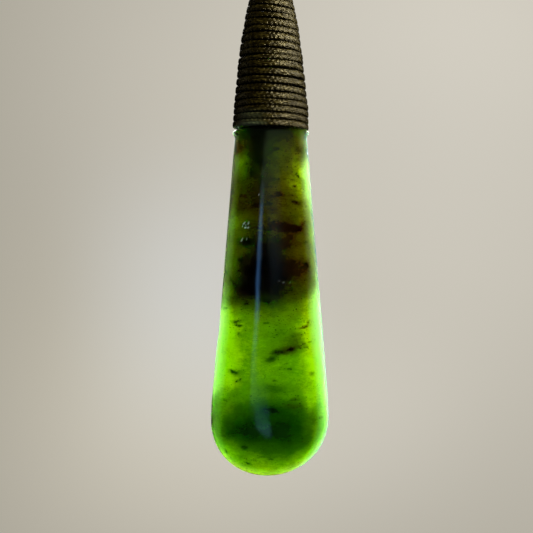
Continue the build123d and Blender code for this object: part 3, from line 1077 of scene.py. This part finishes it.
def patches(azimuth, elevation, table):
    """The colours, in percent, of soft patches of light in the given directions, in degrees.

    Each falls as a smooth step, across and upright, over its edge times its half size.
    """
    glow = np.zeros((3,) + azimuth.shape)
    for at, up, wide, high, edge_across, edge_upright, colour in table:
        across = np.abs((azimuth - at + 180) % 360 - 180) / wide
        upright = np.abs(elevation - up) / high
        cover = soft_fall(across, 1 - edge_across, 1 + edge_across)
        cover = cover * soft_fall(upright, 1 - edge_upright, 1 + edge_upright)
        glow += cover * np.reshape(colour, (3, 1, 1))
    return glow


def stack(azimuth, elevation, rows):
    """The colours, in percent, of a stack of rows of light in the given directions, in degrees.

    Between two rows every value changes evenly. Across, the light rises and falls as smooth steps.
    """
    height, *columns = rows.T
    left, right, left_edge, right_edge, *colour = (np.interp(elevation, height, c) for c in columns)
    across = (azimuth + 180) % 360 - 180
    cover = soft_step(across, left - left_edge / 2, left + left_edge / 2)
    cover = cover * soft_fall(across, right - right_edge / 2, right + right_edge / 2)
    return cover * np.stack(colour)


def make_screen():
    """A ball round the pendant that carries the reflections."""
    foot, top = SCREEN_FINE
    levels = np.concatenate([
        np.linspace(-90, foot, SCREEN_ROWS)[:-1],
        np.linspace(foot, top, SCREEN_FINE_ROWS),
        np.linspace(top, 90, SCREEN_ROWS)[1:],
    ])
    azimuth, elevation = np.meshgrid(np.linspace(0, 360, STAGE_COLUMNS, endpoint=False), levels)
    points = around_front(azimuth, elevation, SCREEN_RADIUS)
    glow = stack(azimuth, elevation, WINDOW) + stack(azimuth, elevation, HAZE)
    glow += patches(azimuth, elevation, REFLECTIONS)
    return surface("reflection_screen", points, dict(zip(GLOW, glow / 100)))


screen = make_screen()
screen.data.materials.append(glowing("screen_paint"))
screen.visible_camera = False
screen.visible_diffuse = False
screen.visible_shadow = False
screen.visible_transmission = False
light_only(screen, [stone])

sweep = make_sweep()
sweep.data.materials.append(glowing("sweep_paint"))
sweep.data.shade_smooth()
sweep.visible_glossy = False
sweep.visible_diffuse = False
sweep.visible_shadow = False

STONE_LIGHTS = [
    # name, place, target, width and height, watts, colour
    ("glow_left", around_front(-140, 0, 0.15), MIDDLE, (0.08, 0.12), 2, (0.95, 1, 0.98)),
    ("glow_right", around_front(140, 0, 0.15), MIDDLE, (0.08, 0.12), 2.8, (1, 1, 0.95)),
    ("glow_low", around_front(180, -50, 0.15, -0.07), (0, 0, -0.075), (0.08, 0.04), 0.8, (1, 1, 0.9)),
    ("stone_fill", around_front(10, 10, 0.4), MIDDLE, (0.4, 0.4), 3.5, (1, 0.97, 0.93)),
]
CORD_LIGHTS = [
    # as in STONE_LIGHTS
    ("cord_key", around_front(42, 30, 0.35), WHIP_MIDDLE, (0.08, 0.05), 1.15, (1, 0.84, 0.42)),
    ("cord_right", around_front(106, 12, 0.35), WHIP_MIDDLE, (0.15, 0.2), 0.36, (1, 0.86, 0.5)),
    ("cord_side", (0.05, -0.012, -0.006), (0, 0, -0.009), (0.02, 0.02), 0.0018, (1, 0.88, 0.55)),
    ("cord_rim", around_front(180, 30, 0.35), WHIP_MIDDLE, (0.2, 0.1), 0.06, (1, 0.97, 0.9)),
    ("cord_edge", around_front(-105, 5, 0.35), WHIP_MIDDLE, (0.15, 0.2), 0.03, (1, 0.84, 0.42)),
]
SIDE_SPREAD = 45  # degrees

for row in STONE_LIGHTS:
    area_light(*row, [stone], glossy=False)
cord_lights = {row[0]: area_light(*row, [whipping, loop], glossy=True) for row in CORD_LIGHTS}
cord_lights["cord_side"].data.spread = math.radians(SIDE_SPREAD)

world = bpy.data.worlds.new("studio_air")
bpy.context.scene.world = world
world.use_nodes = True
air = world.node_tree.nodes["Background"]
air.inputs["Color"].default_value = (1, 0.96, 0.8, 1)
air.inputs["Strength"].default_value = 0.05

camera_data = bpy.data.cameras.new("camera")
camera_data.sensor_width = 36
camera_data.lens = 75
camera_data.clip_start = 0.001
camera = bpy.data.objects.new("camera", camera_data)
bpy.context.scene.collection.objects.link(camera)
camera.location = CAMERA_PLACE
camera.rotation_euler = (math.pi / 2, 0, 0)
bpy.context.scene.camera = camera
bpy.context.scene.view_settings.view_transform = "Standard"
